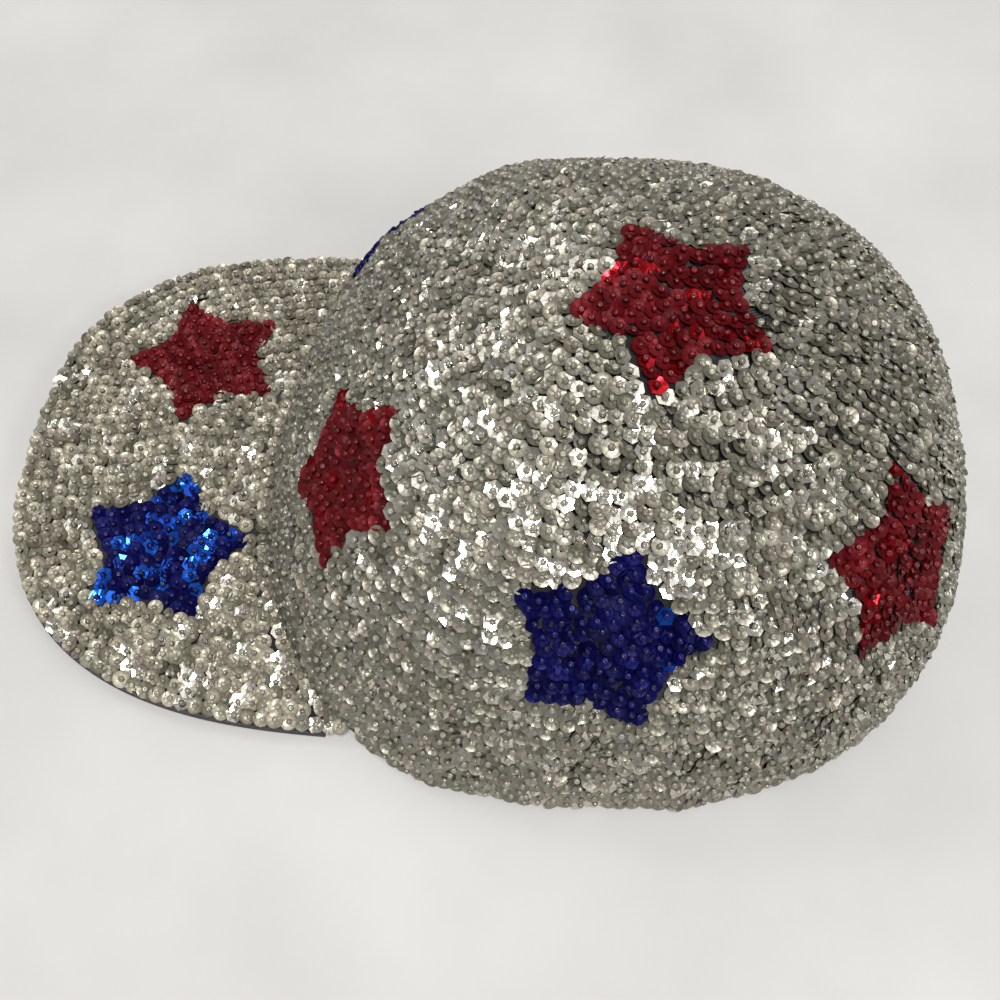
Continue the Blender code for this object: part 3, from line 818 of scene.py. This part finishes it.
def bead_material(name, dark, light, metallic, roughness, coat):
    """Glass seed bead with a coloured lining."""
    paint = Paint(bpy.data.materials.new(name))
    random = paint.add("ShaderNodeNewGeometry", "Random Per Island")
    return paint.finish({
        "Base Color": paint.ramp(random, ((0.0, dark), (1.0, light))),
        "Roughness": paint.between(paint.noise(1400.0, 2.0), *roughness, 0.35, 0.7),
        "Metallic": metallic, "Coat Weight": coat, "Coat Roughness": 0.06})


def fibre_material(name, dark, light, scale, sheen):
    """Spun thread or pressed board: fine fibre grain, with the dips between the fibre strands painted darker
    as shade.
    """
    paint = Paint(bpy.data.materials.new(name))
    fibres_and_shade = paint.noise(scale, 4.0)
    return paint.finish({
        # Grain and painted shade: the same noise that raises the fibre strands makes the dips between them
        # darker
        "Base Color": paint.ramp(fibres_and_shade, ((0.3, dark), (0.7, light))),
        "Roughness": paint.between(fibres_and_shade, 0.60, 0.95),
        "Normal": paint.bump(fibres_and_shade, 0.5, 0.0001), "Sheen Weight": sheen})


def weave(paint, pitch, kind):
    """Height of a weave over its UV map, which is in metres."""
    across, along = [paint.calculate("MULTIPLY", half, 2 * math.pi / pitch) for half in paint.uv()]
    if kind == "twill":
        fine = paint.calculate("MULTIPLY", paint.calculate("SUBTRACT", across, along), 2.0)
        fine = paint.calculate("MULTIPLY", paint.calculate("SINE", fine), 0.35)
        return paint.calculate("ADD", paint.calculate("SINE", paint.calculate("ADD", across, along)), fine)
    across, along = paint.calculate("SINE", across), paint.calculate("SINE", along)
    if kind == "ribbed":
        return paint.calculate("ADD", across, paint.calculate("MULTIPLY", along, 0.25))
    return paint.calculate("MULTIPLY", across, along)


def cloth_material(name, dark, light, pitch, kind):
    """Woven cloth with some wear; the tops of its threads are painted lighter than the grooves between them,
    a painted shade of the weave.
    """
    paint = Paint(bpy.data.materials.new(name))
    height = weave(paint, pitch, kind)
    wear = paint.noise(350.0, 4.0)
    # Painted shade of the weave mixed with real wear: the grooves between the threads come out darker
    weave_shade_and_wear = paint.calculate("ADD", paint.calculate("MULTIPLY", height, 0.25), wear)
    return paint.finish({
        "Base Color": paint.ramp(weave_shade_and_wear, ((0.25, dark), (0.85, light))),
        "Roughness": paint.between(wear, 0.80, 0.98),
        "Normal": paint.bump(height, 0.7, pitch * 0.35),
        "Sheen Weight": 0.25, "Sheen Roughness": 0.4, "Specular IOR Level": 0.25})


SILVER_TONES = ((0.145, 0.137, 0.103), (0.33, 0.298, 0.240), (0.185, 0.183, 0.140), (0.37, 0.345, 0.280),
                (0.220, 0.201, 0.158), (0.30, 0.291, 0.230))
BRIGHT_SILVER_TONES = ((0.74, 0.71, 0.63), (0.52, 0.485, 0.405), (0.64, 0.60, 0.52))
RED_TONES = ((0.055, 0.0012, 0.003), (0.130, 0.003, 0.006), (0.085, 0.002, 0.0045))
BRIGHT_RED_TONES = ((0.42, 0.008, 0.014), (0.26, 0.006, 0.010))
BLUE_TONES = ((0.0006, 0.0005, 0.017), (0.0020, 0.0024, 0.068), (0.0011, 0.0011, 0.036))
BRIGHT_BLUE_TONES = ((0.020, 0.14, 0.70), (0.010, 0.055, 0.42))


def sequin_materials():
    warm = [(red * 1.03, green, blue * 0.96) for red, green, blue in SILVER_TONES]
    return {
        "satin_silver": sequin_material("satin silver", SILVER_TONES, 0.78, (0.33, 0.60), 0.30, coat=0.14),
        "satin_silver_bill": sequin_material("satin warm silver", warm, 0.75, (0.40, 0.66), 0.30, coat=0.12),
        "satin_red": sequin_material("satin red", RED_TONES, 0.35, (0.40, 0.60), 0.30, specular=0.22),
        "satin_blue": sequin_material("satin blue", BLUE_TONES, 0.35, (0.38, 0.58), 0.30, specular=0.12),
        "polished_silver": sequin_material("polished silver", BRIGHT_SILVER_TONES, 0.95, (0.12, 0.26), 0.10),
        "polished_red": sequin_material("polished red", BRIGHT_RED_TONES, 0.9, (0.12, 0.22), 0.10),
        "polished_blue": sequin_material("polished blue", BRIGHT_BLUE_TONES, 0.9, (0.12, 0.22), 0.10),
    }


def bead_materials():
    rough = (0.30, 0.66)
    return {
        "bead_silver": bead_material("silver-lined bead", (0.19, 0.179, 0.142), (0.38, 0.357, 0.298), 0.4,
                                     (0.28, 0.616), 0.3),
        "bead_red": bead_material("red bead", (0.07, 0.002, 0.004), (0.16, 0.004, 0.007), 0.3, rough, 0.08),
        "bead_blue": bead_material("blue bead", (0.003, 0.002, 0.04), (0.006, 0.005, 0.12), 0.3, rough, 0.08),
    }


# Dark and light of each black cloth, the pitch of its weave, and the weave
CLOTHS = {
    "crown_cloth": ((0.005, 0.005, 0.006), (0.018, 0.018, 0.021), 0.0007, "twill"),
    "bill_cloth": ((0.006, 0.006, 0.008), (0.026, 0.026, 0.030), 0.0007, "twill"),
    "buckram": ((0.012, 0.012, 0.013), (0.050, 0.050, 0.052), 0.0012, "plain"),
    "tape": ((0.012, 0.012, 0.013), (0.040, 0.040, 0.043), 0.0005, "plain"),
    "sweatband": ((0.010, 0.010, 0.012), (0.042, 0.042, 0.047), 0.0006, "twill"),
    "elastic": ((0.012, 0.012, 0.014), (0.055, 0.055, 0.060), 0.0012, "ribbed"),
}


def cloth_materials():
    made = {name: cloth_material(f"black {name}", *look) for name, look in CLOTHS.items()}
    made["thread"] = fibre_material("black thread", (0.020, 0.020, 0.022), (0.060, 0.060, 0.065), 2600.0, 0.6)
    made["board"] = fibre_material("grey board", (0.20, 0.20, 0.19), (0.34, 0.34, 0.33), 500.0, 0.0)
    return made


# ---- cloth pieces

def sheet(name, outer, inner, material, uv_size):
    """A closed sheet from two matching grids of points, with a UV map in metres."""
    rows, columns = outer.shape[:2]
    points = np.concatenate([outer.reshape(-1, 3), inner.reshape(-1, 3)])
    shift = rows * columns
    uv = np.tile(uv_size.reshape(-1, 2), (2, 1))
    index = np.arange(shift).reshape(rows, columns)
    quads = np.stack([index[:-1, :-1], index[:-1, 1:], index[1:, 1:], index[1:, :-1]], axis=-1).reshape(-1, 4)
    back = quads[:, ::-1] + shift
    rim = np.concatenate([index[0], index[1:, -1], index[-1, -2::-1], index[-2:0:-1, 0]])
    after = np.roll(rim, -1)
    edge = np.stack([after, rim, rim + shift, after + shift], axis=-1)
    faces = np.concatenate([quads, back, edge])
    mesh = bpy.data.meshes.new(name)
    mesh.from_pydata(points.tolist(), [], faces.tolist())
    layer = mesh.uv_layers.new(name="UVMap")
    corner = np.empty(len(mesh.loops), np.int32)
    mesh.loops.foreach_get("vertex_index", corner)
    layer.data.foreach_set("uv", uv[corner].astype(np.float32).ravel())
    mesh.polygons.foreach_set("use_smooth", [True] * len(mesh.polygons))
    mesh.materials.append(material)
    mesh.set_sharp_from_angle(angle=math.radians(50))
    return add_piece(name, mesh)


def dome_sheet(name, angles, levels, outer, inner, material):
    """A sheet between two distances out from the dome; at the hem it ends level."""
    point, _, _, out, _, _ = dome_basis(angles, levels)
    out[..., 2] = np.where(levels == 0.0, 0.0, out[..., 2])
    out = unit(out)
    across = run_along(point, axis=1)
    uv = np.stack([across - across[:, -1:] / 2, run_along(point)], axis=-1)
    return sheet(name, point + out * outer, point + out * inner, material, uv)


SEAM_GAP = 0.00012
SMALLEST_RING = 0.002
BUCKRAM_DEPTHS = (0.0013, 0.0016)
TAPE_DEPTHS = (0.0019, 0.0024)
SWEATBAND_DEPTHS = (0.0032, 0.0044)
ELASTIC_DEPTHS = (0.0034, 0.0042)
TAPE_HALF = 0.006
TAPE_BOTTOM = 0.003
TAPE_TOP_LEVEL = 0.895
TAPE_ROWS = 40
TAPE_COLUMNS = 9


def build_crown_cloth(materials):
    """Six gores of twill that meet at the seams."""
    rows, columns = 44, 22
    levels = np.linspace(0, DOME_TOP_LEVEL, rows)
    for panel, side in enumerate(SIDES):
        inset = SEAM_GAP / np.maximum(DOME_HALF_WIDTH * np.cos(levels * math.pi / 2), SMALLEST_RING)
        share = np.linspace(0, 1, columns)
        angles = panel * PANEL + inset[:, None] + share[None] * (PANEL - 2 * inset[:, None])
        grid = np.repeat(levels[:, None], columns, axis=1)
        piece = dome_sheet(f"cloth_panel_{side}", angles, grid, 0.0, -CLOTH, materials["crown_cloth"])
        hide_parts(f"crown_panel_{side}")


def band(name, node, material, turns, heights, depths, columns, rows):
    """A band inside the crown, between two turns in degrees, two heights and two depths behind the dome."""
    angles = np.repeat(np.linspace(*np.radians(turns), columns)[None], rows, axis=0)
    levels = np.repeat(level_at_height(np.linspace(*heights, rows))[:, None], columns, axis=1)
    piece = dome_sheet(name, angles, levels, -depths[0], -depths[1], material)
    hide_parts(node)


def across_seam(seam, levels, reach, shares):
    """Angles of points beside a seam of the crown, at shares of this reach to either side of it."""
    size_around = dome_basis(np.full(len(levels), seam * PANEL), levels)[4]
    return seam * PANEL + (reach / size_around)[:, None] * shares


def build_inside(materials):
    """Buckram behind the front panels, sweatband, elastic at the back and a tape over each seam."""
    band("front_buckram", "front_stiffener", materials["buckram"],
         turns=(-58, 58), heights=(0.002, 0.088), depths=BUCKRAM_DEPTHS, columns=60, rows=36)
    band("sweatband_cloth", "sweatband", materials["sweatband"],
         turns=(-148, 148), heights=(0.0, 0.029), depths=SWEATBAND_DEPTHS, columns=150, rows=10)
    band("back_elastic_band", "back_elastic", materials["elastic"],
         turns=(150, 210), heights=(0.003, 0.026), depths=ELASTIC_DEPTHS, columns=40, rows=8)
    for seam, side in enumerate(SEAMS):
        levels = np.linspace(float(level_at_height(TAPE_BOTTOM)), TAPE_TOP_LEVEL, TAPE_ROWS)
        angles = across_seam(seam, levels, TAPE_HALF, np.linspace(-1, 1, TAPE_COLUMNS))
        grid = np.repeat(levels[:, None], TAPE_COLUMNS, axis=1)
        piece = dome_sheet(f"tape_{side}", angles, grid, -TAPE_DEPTHS[0], -TAPE_DEPTHS[1], materials["tape"])
        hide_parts(f"seam_tape_{side}")


def bill_grid(rows, columns):
    """Plan points of a bill layer, in rows from the crown's hem to the free edge."""
    share = BILL_TRIM * np.sin(np.linspace(-1, 1, columns) * math.pi / 2)
    outer = bill_edge(share)
    hem = dome_point(share * BILL_CORNER, np.zeros(columns))[:, :2]
    away = unit(hem - np.array([0.0, DOME_Y]))
    inner = hem + away * BILL_HEM_GAP
    blend = np.linspace(0, 1, rows)[:, None, None]
    return inner[None] * (1 - blend) + outer[None] * blend


def build_bill(materials):
    """Top and under cloths, the fold round the edge, and the board between them, which is the CAD's own."""
    plan = bill_grid(26, 60)
    layers = (("bill_cover_cloth", "bill_top_cloth", 0.0),
              ("bill_lining", "bill_under_cloth", BILL_THICK - BILL_CLOTH))
    for name, node, depth in layers:
        under = lifted(plan, depth + BILL_CLOTH)
        piece = sheet(name, lifted(plan, depth), under, materials["bill_cloth"], plan)
        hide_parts(node)
    build_binding(materials)
    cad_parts["bill_board"].data.materials.clear()
    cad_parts["bill_board"].data.materials.append(materials["board"])


FOLD_REACH = 0.0003
FOLD_BULGE = 0.0009
FOLD_INNER = 0.0002


def build_binding(materials):
    """Folded cloth edge round the bill, with a rounded section."""
    line = bill_edge(BILL_TRIM * np.sin(np.linspace(-1, 1, 120) * math.pi / 2))
    along = unit(np.gradient(line, axis=0))
    away = np.stack([along[:, 1], -along[:, 0]], axis=-1)
    height = bill_height(line[:, 0], line[:, 1])
    turns = np.linspace(-math.pi / 2, math.pi / 2, 9)
    half = BILL_THICK / 2
    outer, inner = [], []
    for turn in turns:
        out = FOLD_REACH + FOLD_BULGE * math.cos(turn)
        z = height - half + half * math.sin(turn)
        outer.append(np.concatenate([line + away * out, z[:, None]], axis=1))
        inner.append(np.concatenate([line + away * FOLD_INNER, z[:, None]], axis=1))
    uv = np.stack(np.broadcast_arrays(run_along(line)[None], (turns * half)[:, None]), axis=-1)
    piece = sheet("bill_edge_fold", np.array(outer), np.array(inner), materials["bill_cloth"], uv)
    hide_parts("bill_edge_binding")


# ---- stitching

STITCH_LENGTH = 0.0024
STITCH_PITCH = 0.0030
THREAD_RADIUS = 0.00023
BILL_STITCH_ROWS = 7
BILL_STITCH_FIRST = 0.0036
BILL_STITCH_STEP = 0.0062
BILL_STITCH_CLEAR = 0.0030
BILL_LINE_PITCH = 0.0010
SWEATBAND_STITCH_HEIGHTS = (0.0035, 0.0260)
ELASTIC_STITCH_HEIGHTS = (0.0055, 0.0235)
TAPE_STITCH_SIDE = 0.0045
TAPE_STITCH_BOTTOM = 0.032
TAPE_STITCH_TOP_LEVEL = 0.885


def stitch_shape(sides=6):
    """One stitch of thread along X, whose ends dive into the cloth: points and quads."""
    rings = ((-0.5, 0.4, -0.00024), (-0.40, 0.9, 0.00004), (0.0, 1.0, 0.00012), (0.40, 0.9, 0.00004),
             (0.5, 0.4, -0.00024))
    turn = (np.arange(sides) + 0.5) * 2 * math.pi / sides
    points = [(share * STITCH_LENGTH, THREAD_RADIUS * size * math.cos(t),
               height + THREAD_RADIUS * size * math.sin(t)) for share, size, height in rings for t in turn]
    last = (len(rings) - 1) * sides
    ends = [(3, 2, 1, 0), (5, 4, 3, 0)]
    ends += [(last, last + 1, last + 2, last + 3), (last, last + 3, last + 4, last + 5)]
    return np.array(points), np.array(ring_quads(len(rings), sides) + ends)


def stitch_rows(name, node, rows, material):
    """Rows of stitches; each row is a fine line of points with the direction out of the cloth at each."""
    places, turns = [], []
    for line, out in rows:
        even = even_along(np.concatenate([line, out], axis=1), STITCH_PITCH, 0.5)
        place, away = even[:, :3], unit(even[:, 3:])
        along = np.gradient(place, axis=0)
        along = unit(along - away * (along * away).sum(-1)[:, None])
        places.append(place)
        turns.append(np.stack([along, np.cross(away, along), away], axis=-1))
    places, turns = np.concatenate(places), np.concatenate(turns)
    piece = copies(name, stitch_shape(), places, turns, RNG.normal(1.0, 0.03, len(places)), True, material)
    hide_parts(node)


def dome_line(angles, levels, depth):
    """A line on the inner face of a layer this deep inside the crown, and the direction into the hollow."""
    point, _, _, out, _, _ = dome_basis(angles, levels)
    return point - out * depth, -out


def round_rows(first, last, heights, depth, samples):
    """Lines round the inside of the crown, between two turns in degrees, at each of the heights."""
    turn = np.linspace(math.radians(first), math.radians(last), samples)
    return [dome_line(turn, np.full(samples, float(level_at_height(height))), depth) for height in heights]


def build_stitching(materials):
    """Stitches under the bill, round the sweatband and the elastic, and up both sides of each tape."""
    rows = []
    for inset in BILL_STITCH_FIRST + BILL_STITCH_STEP * np.arange(BILL_STITCH_ROWS):
        plan = even_along(bill_edge(np.linspace(-1, 1, 2000), inset), BILL_LINE_PITCH, 0.5)
        plan = plan[outside_crown(plan, BILL_STITCH_CLEAR)]
        point, _, _, out = bill_basis(plan[:, 0], plan[:, 1])
        rows.append((point - out * BILL_THICK, -out))
    stitch_rows("bill_stitches", "bill_under_cloth", rows, materials["thread"])
    rows = round_rows(-147, 147, SWEATBAND_STITCH_HEIGHTS, SWEATBAND_DEPTHS[1], 1200)
    stitch_rows("sweatband_stitches", "sweatband", rows, materials["thread"])
    rows = round_rows(152, 208, ELASTIC_STITCH_HEIGHTS, ELASTIC_DEPTHS[1], 300)
    stitch_rows("elastic_stitches", "back_elastic", rows, materials["thread"])
    levels = np.linspace(float(level_at_height(TAPE_STITCH_BOTTOM)), TAPE_STITCH_TOP_LEVEL, 300)
    for seam, side in enumerate(SEAMS):
        angles = across_seam(seam, levels, TAPE_STITCH_SIDE, np.array([-1, 1]))
        rows = [dome_line(edge, levels, TAPE_DEPTHS[1]) for edge in angles.T]
        stitch_rows(f"tape_stitches_{side}", f"seam_tape_{side}", rows, materials["thread"])


# ---- stage, light and camera

FLOOR_RADIUS = 1.6
FLOOR_SIDES = 120
FLOOR_GAP = 0.0003
SKY_LOW = 0.11
SKY_HIGH = 0.39
BACKDROP = 0.80
LAMP_TARGET = (0.0, DOME_Y, 0.05)


def build_floor():
    """A plain round floor just under the cap."""
    paint = Paint(bpy.data.materials.new("pale floor"))
    stops = ((0.3, (0.520, 0.513, 0.503)), (0.7, (0.600, 0.592, 0.582)))
    material = paint.finish({"Base Color": paint.ramp(paint.noise(14.0, 6.0), stops), "Roughness": 0.9})
    mesh = bpy.data.meshes.new("floor")
    turns = [2 * math.pi * k / FLOOR_SIDES for k in range(FLOOR_SIDES)]
    rim = [(FLOOR_RADIUS * math.cos(turn), FLOOR_RADIUS * math.sin(turn), 0.0) for turn in turns]
    mesh.from_pydata(rim, [], [range(FLOOR_SIDES)])
    mesh.materials.append(material)
    floor = bpy.data.objects.new("floor", mesh)
    bpy.context.scene.collection.objects.link(floor)
    floor.location.z = -FLOOR_GAP


def area_light(name, direction, distance, size, power, colour):
    """A round lamp that looks at the crown from a direction."""
    light = bpy.data.lights.new(name, "AREA")
    light.shape = "DISK"
    light.size = size
    light.energy = power
    light.color = colour
    obj = bpy.data.objects.new(name, light)
    towards = Vector(direction).normalized()
    obj.location = Vector(LAMP_TARGET) + towards * distance
    obj.rotation_mode = "QUATERNION"
    obj.rotation_quaternion = towards.to_track_quat("Z", "Y")
    bpy.context.scene.collection.objects.link(obj)


def build_lights():
    """Soft studio: a sky brightest overhead, a plain backdrop, one strong lamp and three weak ones."""
    paint = Paint(bpy.data.worlds.new("studio"), "Background")
    place = paint.add("ShaderNodeTexCoord", "Generated")
    height = paint.add("ShaderNodeSeparateXYZ", "Z", {"Vector": place})
    by_camera = paint.add("ShaderNodeLightPath", "Is Camera Ray")
    sky = paint.between(height, SKY_LOW, SKY_HIGH)
    strength = paint.add("ShaderNodeMix", "Result", {"Factor": by_camera, "A": sky, "B": BACKDROP})
    bpy.context.scene.world = paint.finish({"Color": (0.98, 0.99, 1.0, 1.0), "Strength": strength})
    area_light("lamp_near", (0.34, 0.06, 0.94), 2.3, 0.60, 48.0, (1.0, 0.985, 0.96))
    area_light("lamp_front", (-0.34, -0.55, 0.76), 2.4, 0.32, 4.0, (1.0, 0.98, 0.96))
    area_light("lamp_side", (0.50, 0.60, 0.62), 2.4, 0.50, 9.0, (0.97, 0.985, 1.0))
    area_light("ceiling", (-0.30, 0.1, 0.95), 2.2, 1.4, 6.0, (0.98, 0.99, 1.0))


CAMERA_AZIMUTH = math.radians(92.55)
CAMERA_ELEVATION = math.radians(59.97)
CAMERA_ROLL = math.radians(1.61)
CAMERA_DISTANCE = 0.2972
CAMERA_TARGET = (0.0181, DOME_Y - 0.01876, 0.02365)
CAMERA_LENS = 41.52


def build_camera():
    """Camera that looks down on the cap's left side, a little rolled."""
    azimuth, elevation = CAMERA_AZIMUTH, CAMERA_ELEVATION
    back = Vector((math.sin(azimuth) * math.cos(elevation), -math.cos(azimuth) * math.cos(elevation),
                   math.sin(elevation)))
    right = Vector((math.cos(azimuth), math.sin(azimuth), 0.0))
    up = back.cross(right)
    rolled_right = right * math.cos(CAMERA_ROLL) + up * math.sin(CAMERA_ROLL)
    rolled_up = up * math.cos(CAMERA_ROLL) - right * math.sin(CAMERA_ROLL)
    data = bpy.data.cameras.new("camera")
    data.lens = CAMERA_LENS
    data.sensor_width = 36.0
    data.clip_start = 0.01
    camera = bpy.data.objects.new("camera", data)
    place = Vector(CAMERA_TARGET) + back * CAMERA_DISTANCE
    axes = Matrix((rolled_right, rolled_up, back)).transposed()
    camera.matrix_world = Matrix.Translation(place) @ axes.to_4x4()
    bpy.context.scene.collection.objects.link(camera)
    bpy.context.scene.camera = camera


def main():
    materials = sequin_materials() | bead_materials() | cloth_materials()
    build_crown_cloth(materials)
    build_inside(materials)
    build_bill(materials)
    build_stitching(materials)
    build_covering(materials)
    build_floor()
    build_lights()
    build_camera()
    bpy.context.scene.view_settings.view_transform = "Standard"


main()
